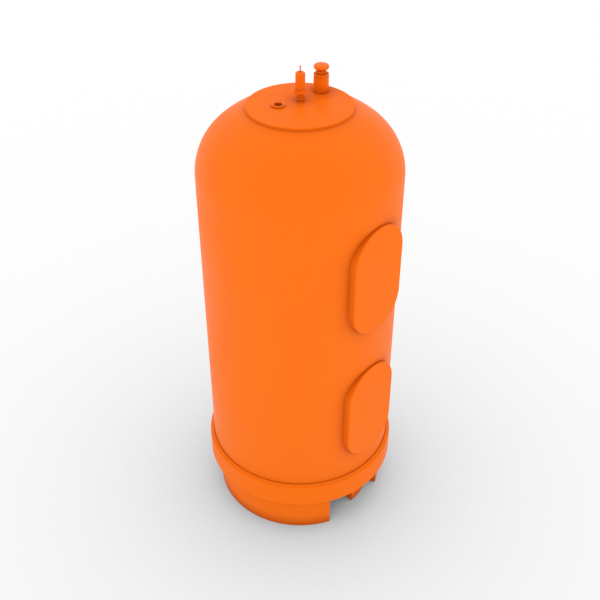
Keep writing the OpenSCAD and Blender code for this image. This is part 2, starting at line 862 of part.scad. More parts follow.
module thermostat_screws() {
    sets = [[lower_thermostat_z, control_h], [upper_thermostat_z, control_h],
            [limit_z, limit_h]];
    color([0.8, 0.65, 0.35]) for (c = sets, sx = [-1, 1], sz = [-1, 1]) {
        front_bar(3.4, control_face_y - 4, control_face_y - 1.2, sx * screw_x, c[0] + sz * (c[1] / 2 - 6));
    }
}

// Arc of the supply conduit, from the upper well's side to the gland.
module conduit_body(r, a1, a2) {
    rotate([0, 0, a1 - 90]) rotate_extrude(angle = a2 - a1)
        translate([conduit_path_r, conduit_z]) circle(r);
}

module supply_conduit() {
    color([0.55, 0.56, 0.58]) difference() {
        conduit_body(conduit_r, conduit_start_a, conduit_end_a);
        conduit_body(conduit_bore_r, conduit_start_a - 1, conduit_end_a + 1);
    }
}

module supply_gland() {
    mouth_r = 9.5;
    color(jacket_colour) translate([0, 0, conduit_z]) difference() {
        union() {
            side_bar(gland_hole_r - gap, shell_r - 12, shell_r + 8);
            rotate([0, 90, 0]) rounded_bar(gland_hole_r + 5, shell_r + 0.5, shell_r + 5, 1);
            side_bar(gland_hole_r + 4, shell_r - 12, shell_r - shell_t - 1);
        }
        side_bar(mouth_r, 0, far);
    }
}

module supply_wires() {
    color([0.1, 0.1, 0.1]) for (s = [-1, 1]) {
        r = conduit_path_r;
        z = conduit_z + s * 3;
        arc = [for (a = [84:-7:14]) [r * sin(a), -r * cos(a), z]];
        wire(smooth(concat(
            [[shell_r - 14.5, s * 2, z], [shell_r - 23, -8, z]],
            arc,
            [[40, -(control_face_y + 4), z - 2],
             [s * screw_x + 8, -(control_face_y + 2), limit_z + 30],
             [s * screw_x, -(control_face_y - 0.5), limit_z + 17]]
        ), 2), 1.8, unit([0, 0.1, 1]));
    }
}

module link_conduit() {
    color([0.55, 0.56, 0.58]) translate([link_x, -link_y, 0]) difference() {
        bar(conduit_r, lower_cover_z + well_h / 2 - 14, upper_cover_z - well_h / 2 + 14);
        bar(conduit_bore_r, 0, far);
    }
}

// Wires from the upper thermostat down to the lower one.
module link_wires() {
    top = upper_thermostat_z - control_h / 2 + 6;
    bottom = lower_thermostat_z + control_h / 2 - 6;
    face = control_face_y - 0.5;
    color([0.1, 0.15, 0.5]) for (s = [-1, 1]) {
        x = link_x + s * 3.2;
        wire(smooth([
            [screw_x, -face, top + 3 * s], [34 + s * 4, -face - 4, top - 14], [x, -link_y, top - 60],
            [x, -link_y, upper_cover_z - 150], [x, -link_y, (upper_cover_z + lower_cover_z) / 2],
            [x, -link_y, lower_cover_z + 150], [x - 2, -link_y - 1, bottom + 40],
            [34 + s * 4, -face - 3, bottom + 16], [screw_x, -face, bottom - 3 * s]
        ], 4), 1.8, [1, 0, 0]);
    }
}

// Wires between each thermostat and the element below it.
module element_wires() {
    face = control_face_y - 0.5;
    screw_y = plug_face_y + block_t + 1.2;
    color([0.65, 0.1, 0.08])
        for (p = [[lower_thermostat_z - control_h / 2 + 6, lower_element_z],
                  [upper_thermostat_z - control_h / 2 + 6, upper_element_z]]) {
            wire(smooth([
                [-screw_x, -face, p[0]], [-25, -face - 5, p[0] - 16], [-22, -screw_y - 3, (p[0] + p[1]) / 2],
                [-12, -screw_y - 2, p[1] + 12], [-8, -screw_y, p[1]]
            ], 5), 1.8, [1, 0, 0]);
        }
}

// ---- drain -------------------------------------------------------------------

module drain_drop_pipe() {
    color(brass_colour) difference() {
        bar(pipe_r, drain_z + 14, bowl_z + 19);
        bar(pipe_bore_r, 0, far);
    }
}

module drain_elbow() {
    socket_r = pipe_r + 4;
    body_r = socket_r + 3;
    color(brass_colour) difference() {
        union() {
            bar(body_r, drain_z - 15, drain_z + 30);
            drain_bar(socket_r, 0, 40);
        }
        bar(pipe_bore_r + 0.4, drain_z - 10, far);
        bar(pipe_r + 0.1, drain_z + 14, far);
        drain_bar(pipe_bore_r, 0, far);
        drain_bar(pipe_r + 0.1, pipe_start_s - 1, far);
    }
}

module drain_pipe() {
    color(brass_colour) difference() {
        drain_bar(pipe_r, pipe_start_s, drain_ball_s - 20);
        drain_bar(pipe_bore_r, 0, far);
    }
}

module drain_valve_body() {
    s = drain_ball_s;
    body_r = ball_r + 6;
    color(brass_colour) difference() {
        union() {
            drain_bar(pipe_r + 4, s - 34, s);
            drain_bar(body_r, s - 19, s + 19);
            drain_bar(13, s, drain_end_s);
            for (k = [0:5]) drain_bar(13.9, drain_end_s - 20 + k * 3, drain_end_s - 18.6 + k * 3);
            at_ball() bar(8, 0, 23);
        }
        drain_bar(pipe_r + 0.1, 0, s - 19);
        drain_bar(pipe_bore_r, 0, s);
        drain_bar(drain_outlet_r, s, far);
        drain_bar(ball_r + 0.4, s - 14.2, s + 14.2);
        at_ball() bar(stem_r + run, 0, far);
    }
}

// Puts the origin in the ball's middle, with +X along the flow.
module at_ball() {
    translate([drain_dir[0] * drain_ball_s, drain_dir[1] * drain_ball_s, drain_z])
        rotate([0, 0, -90 - drain_a]) children();
}

module drain_valve_seats() {
    color([0.92, 0.92, 0.9]) at_ball() for (m = [0, 1]) mirror([m, 0, 0]) difference() {
        side_bar(ball_r + 0.2, 10.9, 14.1);
        side_bar(pipe_bore_r, 0, 20);
    }
}

module drain_valve_ball() {
    color([0.75, 0.75, 0.77]) at_ball() {
        difference() {
            sphere(ball_r);
            rotate([0, 0, 90]) side_bar(ball_bore_r, -20, 20);
        }
        bar(stem_r, ball_r - 2, lever_z - drain_z + 5);
    }
}

module drain_valve_lever() {
    thick = 3;
    width = 15;
    color(plastic_dark) at_ball() translate([0, 0, lever_z - drain_z - 1.5]) difference() {
        union() {
            cylinder(r = 11, h = thick);
            translate([-width / 2, 0, 0]) cube([width, lever_l - width / 2, thick]);
            translate([0, lever_l - width / 2, 0]) cylinder(d = width, h = thick);
            translate([0, 0, thick - eps]) cylinder(r = 7, h = 4, $fn = 6);
        }
        translate([0, 0, -1]) cylinder(r = stem_r, h = 20);
    }
}

// ---- access covers -------------------------------------------------------------------

module access_cover(z) {
    tab_w = 30;
    tab_t = 3;
    tab_y = shell_r - 24;
    bevel_steps = 2;
    color(jacket_colour) {
        difference() {
            union() {
                stadium(cover_w, cover_h, 150, cover_face_y - cover_bevel, z);
                for (i = [1:bevel_steps]) stadium(
                    cover_w - 2 * cover_bevel * (1 - cos(90 * i / bevel_steps)) - 0.6,
                    cover_h - 2 * cover_bevel * (1 - cos(90 * i / bevel_steps)) - 0.6,
                    150, cover_face_y - cover_bevel + cover_bevel * sin(90 * i / bevel_steps), z
                );
            }
            stadium(cover_w - 2 * cover_t, cover_h - 2 * cover_t, 140, cover_face_y - cover_t, z);
            bar(shell_r + gap, z - cover_h, z + cover_h);
        }
        for (s = [-1, 1]) front_block(
            tab_w, tab_t, tab_y, cover_face_y - cover_t + 0.5, 0,
            z + s * (well_h / 2 - well_t - tab_t / 2 - 2.5)
        );
    }
}

// ---- the nodes -------------------------------------------------------------------

outer_shell();
top_cap();
base_bowl();
foot_ring();
base_screws();
foam_insulation();
tank_liner();
tank_winding();
hot_outlet_spud();
relief_valve_spud();
cold_inlet_spud();
drain_spud();
hot_heat_trap();
dip_tube();
relief_valve_body();
relief_valve_bonnet();
relief_valve_stem();
relief_valve_spring();
relief_valve_probe();
cold_valve_body();
cold_valve_packing_nut();
cold_valve_spindle();
cold_valve_washer();
cold_valve_knob();
well(upper_cover_z);  // upper_well
well(lower_cover_z);  // lower_well
element_boss(upper_element_z);  // upper_element_boss
element_boss(lower_element_z);  // lower_element_boss
element_gasket(upper_element_z);  // upper_element_gasket
element_gasket(lower_element_z);  // lower_element_gasket
element_plug(upper_element_z);  // upper_element_plug
element_plug(lower_element_z);  // lower_element_plug
element_sheath(upper_element_z);  // upper_element_sheath
element_sheath(lower_element_z);  // lower_element_sheath
element_terminals(upper_element_z);  // upper_element_terminals
element_terminals(lower_element_z);  // lower_element_terminals
thermostat(upper_thermostat_z);  // upper_thermostat
thermostat(lower_thermostat_z);  // lower_thermostat
high_limit_switch();
temperature_dial(upper_thermostat_z);  // upper_temperature_dial
temperature_dial(lower_thermostat_z);  // lower_temperature_dial
reset_button();
thermostat_bracket(upper_element_z, limit_z, limit_h);  // upper_thermostat_bracket
thermostat_bracket(lower_element_z, lower_thermostat_z, control_h);  // lower_thermostat_bracket
thermostat_screws();
supply_conduit();
supply_gland();
supply_wires();
link_conduit();
link_wires();
element_wires();
drain_drop_pipe();
drain_elbow();
drain_pipe();
drain_valve_body();
drain_valve_seats();
drain_valve_ball();
drain_valve_lever();
access_cover(upper_cover_z);  // upper_access_cover
access_cover(lower_cover_z);  // lower_access_cover
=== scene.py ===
"""Tank water heater: the looks of the jacket, its base, its fittings and what lies behind the covers."""
import json
import math

import bmesh
import bpy
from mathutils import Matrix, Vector


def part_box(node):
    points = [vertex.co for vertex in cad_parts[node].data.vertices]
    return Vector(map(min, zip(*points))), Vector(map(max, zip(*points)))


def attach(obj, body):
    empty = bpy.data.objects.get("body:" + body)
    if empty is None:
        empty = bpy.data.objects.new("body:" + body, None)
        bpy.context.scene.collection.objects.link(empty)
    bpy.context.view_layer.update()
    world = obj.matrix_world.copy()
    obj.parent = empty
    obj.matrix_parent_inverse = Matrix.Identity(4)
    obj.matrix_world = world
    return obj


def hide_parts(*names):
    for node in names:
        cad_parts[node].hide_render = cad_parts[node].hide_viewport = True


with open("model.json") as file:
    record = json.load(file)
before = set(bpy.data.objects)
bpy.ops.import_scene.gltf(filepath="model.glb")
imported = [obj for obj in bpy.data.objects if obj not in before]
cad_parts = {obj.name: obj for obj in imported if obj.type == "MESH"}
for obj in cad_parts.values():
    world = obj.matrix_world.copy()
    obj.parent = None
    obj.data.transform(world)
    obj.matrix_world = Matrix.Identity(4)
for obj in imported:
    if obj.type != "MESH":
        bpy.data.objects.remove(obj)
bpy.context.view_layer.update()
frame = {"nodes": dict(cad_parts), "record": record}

# ---- sizes, in metres and degrees --------------------------------------------------------------

CAMERA_AZIMUTH = -46.48
CAMERA_ELEVATION = 36.526
CAMERA_DISTANCE = 2.7942
CAMERA_TARGET_HEIGHT = 0.7501
CAMERA_LENS_MM = 52.826

SKY_STRENGTH = 1.2

MM = 0.001
FINE = 256                 # steps round the jacket
MEDIUM = 96                # steps round a fitting
SMALL = 48                 # steps round a screw or a pin
GAP = 0.3 * MM             # between curved faces that don't join

shell_low, shell_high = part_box("outer_shell")
_, cap_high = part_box("top_cap")
bowl_low, bowl_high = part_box("base_bowl")
_, foot_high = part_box("foot_ring")
SHELL_R = shell_high.x
SHELL_WALL = 4 * MM
KNUCKLE_Z = 1.212          # where the straight wall turns into the dome
SHOULDER_R = 0.183
CROWN_R = 0.365
CROWN_HOLE_R = 0.140
CAP_R = cap_high.x
CAP_TOP = cap_high.z
CAP_PLATE = 5 * MM
BAND_R = bowl_high.x
FOOT_R = foot_high.x
FOOT_INNER_R = 0.225
RECESS_R = 0.250
RECESS_HALF_ANGLE = 25.5
OUTLET_ANGLE = math.radians(44)     # direction of the valves' side outlets, from +X towards +Y
DRAIN_ANGLE = math.radians(12.75)   # direction of the drain valve, from -Y towards -X
DRAIN_Z = 0.100
DRAIN_BALL_S = 0.182                # distance of the drain valve's ball from the tank's axis
CROWN_Z = KNUCKLE_Z - math.sqrt((CROWN_R - SHOULDER_R) ** 2 - (SHELL_R - SHOULDER_R) ** 2)
COVER_W, COVER_H, COVER_FACE_Y = 0.203, 0.355, -0.308
UPPER_COVER_Z, LOWER_COVER_Z = 0.974, 0.4765
WELL_W, WELL_H = 0.160, 0.320
CLIP_OFFSET = 0.1535       # height of a cover's clips above and below its middle
GLAND_Z = 1.090
BASE_SCREW_R = (FOOT_R + FOOT_INNER_R) / 2
HOT_PLACE, RELIEF_PLACE, COLD_PLACE = (-0.048, 0.036), (0.020, 0.018), (0.107, 0.020)


# ---- selecting and shaping ---------------------------------------------------------------------

def deselect_all():
    if bpy.context.object and bpy.context.object.mode != "OBJECT":
        bpy.ops.object.mode_set(mode="OBJECT")
    bpy.ops.object.select_all(action="DESELECT")


def pick(piece):
    deselect_all()
    piece.select_set(True)
    bpy.context.view_layer.objects.active = piece


def edit(piece):
    pick(piece)
    bpy.ops.object.mode_set(mode="EDIT")


def leave_edit():
    bpy.ops.object.mode_set(mode="OBJECT")


def select_faces(piece, test):
    """In edit mode, selects the faces whose middle and normal pass the test."""
    bpy.ops.mesh.select_mode(type="FACE")
    bpy.ops.mesh.select_all(action="DESELECT")
    mesh = bmesh.from_edit_mesh(piece.data)
    mesh.normal_update()
    for face in mesh.faces:
        if test(face.calc_center_median(), face.normal):
            face.select_set(True)
    bmesh.update_edit_mesh(piece.data)


def select_vertices(piece, test):
    """In edit mode, selects the vertices whose place passes the test."""
    bpy.ops.mesh.select_mode(type="VERT")
    bpy.ops.mesh.select_all(action="DESELECT")
    mesh = bmesh.from_edit_mesh(piece.data)
    for vertex in mesh.verts:
        if test(vertex.co):
            vertex.select_set(True)
    mesh.select_flush_mode()
    bmesh.update_edit_mesh(piece.data)


def extrude(dx=0.0, dy=0.0, dz=0.0):
    bpy.ops.mesh.extrude_region_move(TRANSFORM_OT_translate={"value": (dx, dy, dz)})


def tidy_mesh(piece, merge=0.004 * MM):
    """Merges doubles and points the faces outwards."""
    edit(piece)
    bpy.ops.mesh.select_all(action="SELECT")
    bpy.ops.mesh.remove_doubles(threshold=merge)
    bpy.ops.mesh.normals_make_consistent(inside=False)
    leave_edit()
    return piece


def soften(piece, width, segments=2, angle=40):
    """Rounds the sharp edges."""
    pick(piece)
    bevel = piece.modifiers.new("edges", "BEVEL")
    bevel.width = width
    bevel.segments = segments
    bevel.limit_method = "ANGLE"
    bevel.angle_limit = math.radians(angle)
    bpy.ops.object.modifier_apply(modifier=bevel.name)
    return piece


def combine(piece, other, operation="DIFFERENCE"):
    """Cuts the other shape from the piece, adds it or keeps what they share, and removes the other shape."""
    pick(piece)
    boolean = piece.modifiers.new("combine", "BOOLEAN")
    boolean.operation = operation
    boolean.solver = "EXACT"
    boolean.object = other
    bpy.ops.object.modifier_apply(modifier=boolean.name)
    bpy.data.objects.remove(other)
    return piece


def join(piece, *others):
    """Makes one object of several closed bodies."""
    pick(piece)
    for other in others:
        other.select_set(True)
    bpy.ops.object.join()
    return piece


def place(piece, at=(0, 0, 0), turn=(0, 0, 0)):
    """Turns and moves a shape made round the origin, and puts its place into its mesh."""
    piece.rotation_euler = turn
    piece.location = at
    pick(piece)
    bpy.ops.object.transform_apply(location=True, rotation=True, scale=True)
    return piece


def copy_of(piece, name, at=(0, 0, 0), turn=(0, 0, 0)):
    """Another of the same shape, with its own mesh."""
    pick(piece)
    bpy.ops.object.duplicate(linked=False)
    other = bpy.context.object
    other.name = name
    return place(other, at, turn)


def arc(r, z, radius, start, end, steps=6):
    """Points of an arc round (r, z) from one angle to another; 0 points outwards and 90 upwards."""
    angles = [math.radians(start + (end - start) * i / steps) for i in range(steps + 1)]
    return [(r + radius * math.cos(a), z + radius * math.sin(a)) for a in angles]


def rings(r, z1, z2, count):
    """Points up or down a straight wall, for a thread to follow."""
    return [(r, z1 + (z2 - z1) * i / count) for i in range(count + 1)]


def turned(name, outline, steps=MEDIUM):
    """Spins an outline of (radius, height) points round the Z axis. A closed outline ends where it starts."""
    deselect_all()
    bpy.ops.mesh.primitive_plane_add(size=MM, location=(outline[0][0], 0, outline[0][1]))
    piece = bpy.context.object
    piece.name = name
    bpy.ops.object.transform_apply(location=True, rotation=True, scale=True)
    bpy.ops.object.mode_set(mode="EDIT")
    bpy.ops.mesh.select_mode(type="VERT")
    bpy.ops.mesh.select_all(action="SELECT")
    bpy.ops.mesh.merge(type="CENTER")
    for (r1, z1), (r2, z2) in zip(outline, outline[1:]):
        extrude(r2 - r1, 0, z2 - z1)
    bpy.ops.mesh.select_all(action="SELECT")
    bpy.ops.mesh.spin(steps=steps, angle=math.tau, center=(0, 0, 0), axis=(0, 0, 1))
    leave_edit()
    return tidy_mesh(piece)


def rod(name, radius, z1, z2, steps=MEDIUM, ease=0.0):
    """Round bar with eased ends, as a cutter or the start of a piece."""
    if not ease:
        return turned(name, [(0, z1), (radius, z1), (radius, z2), (0, z2)], steps)
    low = arc(radius - ease, z1 + ease, ease, -90, 0, 4)
    high = arc(radius - ease, z2 - ease, ease, 0, 90, 4)
    return turned(name, [(0, z1), *low, *high, (0, z2)], steps)


def hexagon(name, corner_r, z1, z2, chamfer=0.9 * MM):
    """Hexagonal nut blank with its corners chamfered at both ends."""
    deselect_all()
    bpy.ops.mesh.primitive_cylinder_add(vertices=6, radius=corner_r, depth=z2 - z1,
                                        location=(0, 0, (z1 + z2) / 2))
    nut = bpy.context.object
    nut.name = name
    bpy.ops.object.transform_apply(location=True, rotation=True, scale=True)
    flat_r = corner_r * math.cos(math.pi / 6) * 0.98
    slope = chamfer / (corner_r - flat_r)
    low_r, wide_r = flat_r - MM, corner_r + MM
    lens = turned("lens", [(0, z1 - slope * MM), (low_r, z1 - slope * MM),
                           (wide_r, z1 + slope * (wide_r - flat_r)),
                           (wide_r, z2 - slope * (wide_r - flat_r)),
                           (low_r, z2 + slope * MM), (0, z2 + slope * MM)])
    combine(nut, lens, "INTERSECT")
    return soften(tidy_mesh(nut), 0.25 * MM, 2, 25)


def stadium(name, width, height, y_front, y_back, z, vertices=128):
    """Prism along Y with straight sides and half round ends: a circle pulled apart and pushed back."""
    deselect_all()
    bpy.ops.mesh.primitive_circle_add(vertices=vertices, radius=width / 2, fill_type="NGON",
                                      location=(0, y_front, z),
                                      rotation=(math.pi / 2, math.pi / vertices, 0))
    piece = bpy.context.object
    piece.name = name
    bpy.ops.object.transform_apply(location=True, rotation=True, scale=True)
    bpy.ops.object.mode_set(mode="EDIT")
    reach = (height - width) / 2
    for side in (1, -1):
        select_vertices(piece, lambda co: (co.z - z) * side > 0)
        bpy.ops.transform.translate(value=(0, 0, side * reach))
    bpy.ops.mesh.select_all(action="SELECT")
    extrude(dy=y_back - y_front)
    leave_edit()
    return tidy_mesh(piece)


def cut_thread(piece, radius, z1, z2, pitch, depth, slack=0.05 * MM):
    """Moves the rings of a straight wall in and out along a helix; negative depth makes an inner thread."""
    ease = pitch * 0.8
    for vertex in piece.data.vertices:
        r = math.hypot(vertex.co.x, vertex.co.y)
        if abs(r - radius) > slack or not z1 <= vertex.co.z <= z2:
            continue
        turn = math.atan2(vertex.co.y, vertex.co.x) / math.tau
        phase = (vertex.co.z / pitch - turn) % 1.0
        wave = min(1.0, max(0.0, 2.6 * abs(phase - 0.5) * 2 - 0.8))
        fade = min(1.0, (vertex.co.z - z1) / ease, (z2 - vertex.co.z) / ease)
        factor = (r - depth * wave * max(0.0, fade)) / r
        vertex.co.x *= factor
        vertex.co.y *= factor
    return piece


def finished(piece, body, nodes, material, angle=32):
    """Smooth shading, material and place in the frame for a piece whose shape is done."""
    tidy_mesh(piece)
    pick(piece)
    bpy.ops.object.shade_smooth_by_angle(angle=math.radians(angle))
    weighted = piece.modifiers.new("normals", "WEIGHTED_NORMAL")
    weighted.keep_sharp = True
    weighted.weight = 50
    bpy.ops.object.modifier_apply(modifier=weighted.name)
    piece.data.materials.clear()
    piece.data.materials.append(material)
    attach(piece, body)
    if nodes:
        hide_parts(*nodes)
    return piece


# ---- materials: effects that several of them share ---------------------------------------------

def new_group(name, inputs, outputs):
    """Empty shader node group with number, colour and vector sockets; gives its tree, input and output."""
    group = bpy.data.node_groups.new(name, "ShaderNodeTree")
    kinds = {"number": "NodeSocketFloat", "colour": "NodeSocketColor", "vector": "NodeSocketVector"}
    for label, kind, value in inputs:
        socket = group.interface.new_socket(name=label, in_out="INPUT", socket_type=kinds[kind])
        if value is not None:
            socket.default_value = value
    for label, kind in outputs:
        group.interface.new_socket(name=label, in_out="OUTPUT", socket_type=kinds[kind])
    return group, group.nodes.new("NodeGroupInput"), group.nodes.new("NodeGroupOutput")


def math_node(tree, operation, a, b=None, clamp=False):
    node = tree.nodes.new("ShaderNodeMath")
    node.operation = operation
    node.use_clamp = clamp
    for socket, value in zip(node.inputs, (a, b)):
        if value is None:
            continue
        if isinstance(value, (int, float)):
            socket.default_value = value
        else:
            tree.links.new(value, socket)
    return node.outputs[0]


def noise_node(tree, place_socket, scale, detail=4.0, roughness=0.5, distortion=0.0):
    node = tree.nodes.new("ShaderNodeTexNoise")
    node.inputs["Detail"].default_value = detail
    node.inputs["Roughness"].default_value = roughness
    node.inputs["Distortion"].default_value = distortion
    tree.links.new(place_socket, node.inputs["Vector"])
    if isinstance(scale, (int, float)):
        node.inputs["Scale"].default_value = scale
    else:
        tree.links.new(scale, node.inputs["Scale"])
    return node.outputs["Fac"]


def range_node(tree, value, low, high, to_low=0.0, to_high=1.0):
    node = tree.nodes.new("ShaderNodeMapRange")
    node.inputs["From Min"].default_value = low
    node.inputs["From Max"].default_value = high
    node.inputs["To Min"].default_value = to_low
    node.inputs["To Max"].default_value = to_high
    tree.links.new(value, node.inputs["Value"])
    return node.outputs["Result"]


def mix_colour(tree, factor, a, b, blend="MIX"):
    node = tree.nodes.new("ShaderNodeMix")
    node.data_type = "RGBA"
    node.blend_type = blend
    for socket, value in ((node.inputs[0], factor), (node.inputs[6], a), (node.inputs[7], b)):
        if isinstance(value, (int, float, tuple)):
            socket.default_value = value
        else:
            tree.links.new(value, socket)
    return node.outputs[2]


def edge_wear_group():
    """Mask that is 1 on outer edges, broken up by noise."""
    tree, given, made = new_group(
        "edge wear", [("Place", "vector", None), ("Width", "number", 0.0015), ("Breakup", "number", 60.0)],
        [("Mask", "number")])
    rounded = tree.nodes.new("ShaderNodeBevel")
    rounded.samples = 4
    tree.links.new(given.outputs["Width"], rounded.inputs["Radius"])
    geometry = tree.nodes.new("ShaderNodeNewGeometry")
    dot = tree.nodes.new("ShaderNodeVectorMath")
    dot.operation = "DOT_PRODUCT"
    tree.links.new(rounded.outputs["Normal"], dot.inputs[0])
    tree.links.new(geometry.outputs["Normal"], dot.inputs[1])
    edge = range_node(tree, dot.outputs["Value"], 0.995, 0.86)
    spots = noise_node(tree, given.outputs["Place"], given.outputs["Breakup"], 5.0, 0.65)
    mask = math_node(tree, "MULTIPLY", edge, range_node(tree, spots, 0.42, 0.62), True)
    tree.links.new(mask, made.inputs["Mask"])
    return tree


def mottle_group():
    """Colour that drifts slowly over a surface, darker and lighter than the one given."""
    tree, given, made = new_group(
        "mottle", [("Place", "vector", None), ("Colour", "colour", (1, 1, 1, 1)), ("Scale", "number", 4.0),
                   ("Amount", "number", 0.05)], [("Colour", "colour"), ("Drift", "number")])
    broad = noise_node(tree, given.outputs["Place"], given.outputs["Scale"], 5.0, 0.55, 0.3)
    drift = math_node(tree, "SUBTRACT", broad, 0.5)
    shift = math_node(tree, "MULTIPLY", drift, given.outputs["Amount"])
    value = math_node(tree, "ADD", math_node(tree, "MULTIPLY", shift, 2.0), 1.0)
    adjust = tree.nodes.new("ShaderNodeHueSaturation")
    tree.links.new(given.outputs["Colour"], adjust.inputs["Color"])
    tree.links.new(value, adjust.inputs["Value"])
    tree.links.new(adjust.outputs["Color"], made.inputs["Colour"])
    tree.links.new(broad, made.inputs["Drift"])
    return tree


def orange_peel_group():
    """Height of a moulded or powder coated skin: soft dimples with a finer grain on them."""
    tree, given, made = new_group(
        "orange peel", [("Place", "vector", None), ("Dimples", "number", 260.0), ("Grain", "number", 1500.0),
                        ("Grain share", "number", 0.3)], [("Height", "number")])
    dimples = noise_node(tree, given.outputs["Place"], given.outputs["Dimples"], 1.5, 0.4)
    grain = noise_node(tree, given.outputs["Place"], given.outputs["Grain"], 2.0, 0.6)
    fine = math_node(tree, "MULTIPLY", grain, given.outputs["Grain share"])
    tree.links.new(math_node(tree, "ADD", dimples, fine), made.inputs["Height"])
    return tree


def brushed_group():
    """Height of fine scratches drawn out along one direction."""
    tree, given, made = new_group(
        "brushed",
        [("Place", "vector", None), ("Stretch", "vector", (1, 1, 0.04)), ("Scale", "number", 900.0)],
        [("Height", "number")])
    mapping = tree.nodes.new("ShaderNodeMapping")
    tree.links.new(given.outputs["Place"], mapping.inputs["Vector"])
    tree.links.new(given.outputs["Stretch"], mapping.inputs["Scale"])
    tree.links.new(noise_node(tree, mapping.outputs["Vector"], given.outputs["Scale"], 3.0, 0.6),
                   made.inputs["Height"])
    return tree


def dust_group():
    """Mask of dust that settles on faces that look up, in patches."""
    tree, given, made = new_group(
        "settled dust", [("Place", "vector", None), ("Scale", "number", 30.0)], [("Mask", "number")])
    geometry = tree.nodes.new("ShaderNodeNewGeometry")
    split = tree.nodes.new("ShaderNodeSeparateXYZ")
    tree.links.new(geometry.outputs["Normal"], split.inputs[0])
    up = range_node(tree, split.outputs["Z"], 0.35, 1.0)
    patches = range_node(tree, noise_node(tree, given.outputs["Place"], given.outputs["Scale"], 6.0, 0.6),
                         0.35, 0.7)
    tree.links.new(math_node(tree, "MULTIPLY", up, patches, True), made.inputs["Mask"])
    return tree


def painted_shade_group():
    """Mask of painted shade, strongest in inner corners and under overhangs where little is open around a
    point, broken up a little by noise.
    """
    tree, given, made = new_group("painted_corner_shade", [("Place", "vector", None), ("Reach", "number", 0.05)],
                                  [("Mask", "number")])
    open_side = tree.nodes.new("ShaderNodeAmbientOcclusion")
    open_side.samples = 8
    tree.links.new(given.outputs["Reach"], open_side.inputs["Distance"])
    # painted shade: the less open the surface around a point, the stronger the mask
    shut_in = range_node(tree, open_side.outputs["AO"], 1.0, 0.35)
    patches = range_node(tree, noise_node(tree, given.outputs["Place"], 40.0, 4.0, 0.6), 0.2, 0.8, 0.9, 1.1)
    tree.links.new(math_node(tree, "MULTIPLY", shut_in, patches, True), made.inputs["Mask"])
    return tree


EDGE_WEAR = edge_wear_group()
PAINTED_SHADE = painted_shade_group()
MOTTLE = mottle_group()
ORANGE_PEEL = orange_peel_group()
BRUSHED = brushed_group()
DUST = dust_group()


def use_group(tree, group, place_socket, **values):
    node = tree.nodes.new("ShaderNodeGroup")
    node.node_tree = group
    tree.links.new(place_socket, node.inputs["Place"])
    for label, value in values.items():
        node.inputs[label.replace("_", " ").capitalize()].default_value = value
    return node


def material(name, colour, roughness, metallic=0.0, mottle=0.05, mottle_scale=5.0, worn=None,
             wear_share=0.4, wear_width=1.2 * MM, dust=0.0, skin="peel", bump=0.12, bump_depth=0.2 * MM,
             dimples=260.0, grain=1500.0, grain_share=0.3, stretch=(1, 1, 0.04), coat=0.0,
             roughness_drift=0.08, specular=0.5, painted_shade_colour=None, painted_shade_share=0.9, painted_shade_reach=50 * MM):
    """Principled surface with drifting colour, worn edges, dust, painted shade in inner corners and its own
    skin.
    """
    made = bpy.data.materials.new(name)
    made.use_nodes = True
    tree = made.node_tree
    shader = tree.nodes["Principled BSDF"]
    place_socket = tree.nodes.new("ShaderNodeTexCoord").outputs["Object"]
    drifting = use_group(tree, MOTTLE, place_socket, colour=(*colour, 1), scale=mottle_scale, amount=mottle)
    shade = drifting.outputs["Colour"]
    if worn:
        wear = use_group(tree, EDGE_WEAR, place_socket, width=wear_width)
        share = math_node(tree, "MULTIPLY", wear.outputs["Mask"], wear_share)
        shade = mix_colour(tree, share, shade, (*worn, 1))
    if dust:
        settled = use_group(tree, DUST, place_socket)
        share = math_node(tree, "MULTIPLY", settled.outputs["Mask"], dust)
        shade = mix_colour(tree, share, shade, (0.62, 0.58, 0.52, 1))
    # painted shade: the colour is mixed towards a dark orange in inner corners and under overhangs
    if painted_shade_colour:
        corners = use_group(tree, PAINTED_SHADE, place_socket, reach=painted_shade_reach)
        share = math_node(tree, "MULTIPLY", corners.outputs["Mask"], painted_shade_share)
        shade = mix_colour(tree, share, shade, (*painted_shade_colour, 1))
    tree.links.new(shade, shader.inputs["Base Color"])
    drift = range_node(tree, drifting.outputs["Drift"], 0.3, 0.7, roughness - roughness_drift,
                       roughness + roughness_drift)
    tree.links.new(drift, shader.inputs["Roughness"])
    shader.inputs["Metallic"].default_value = metallic
    shader.inputs["Specular IOR Level"].default_value = specular
    if coat:
        shader.inputs["Coat Weight"].default_value = coat
        shader.inputs["Coat Roughness"].default_value = 0.15
    bumped = tree.nodes.new("ShaderNodeBump")
    bumped.inputs["Strength"].default_value = bump
    bumped.inputs["Distance"].default_value = bump_depth
    if skin == "brushed":
        height = use_group(tree, BRUSHED, place_socket, stretch=stretch).outputs["Height"]
    else:
        height = use_group(tree, ORANGE_PEEL, place_socket, dimples=dimples, grain=grain,
                           grain_share=grain_share).outputs["Height"]
    tree.links.new(height, bumped.inputs["Height"])
    tree.links.new(bumped.outputs["Normal"], shader.inputs["Normal"])
    return made


ORANGE = (0.84, 0.148, 0.004)
# dark orange of the painted shade in inner corners and under overhangs
PAINTED_SHADE_ORANGE = (0.36, 0.045, 0.001)
PALE_ORANGE = (0.88, 0.26, 0.04)

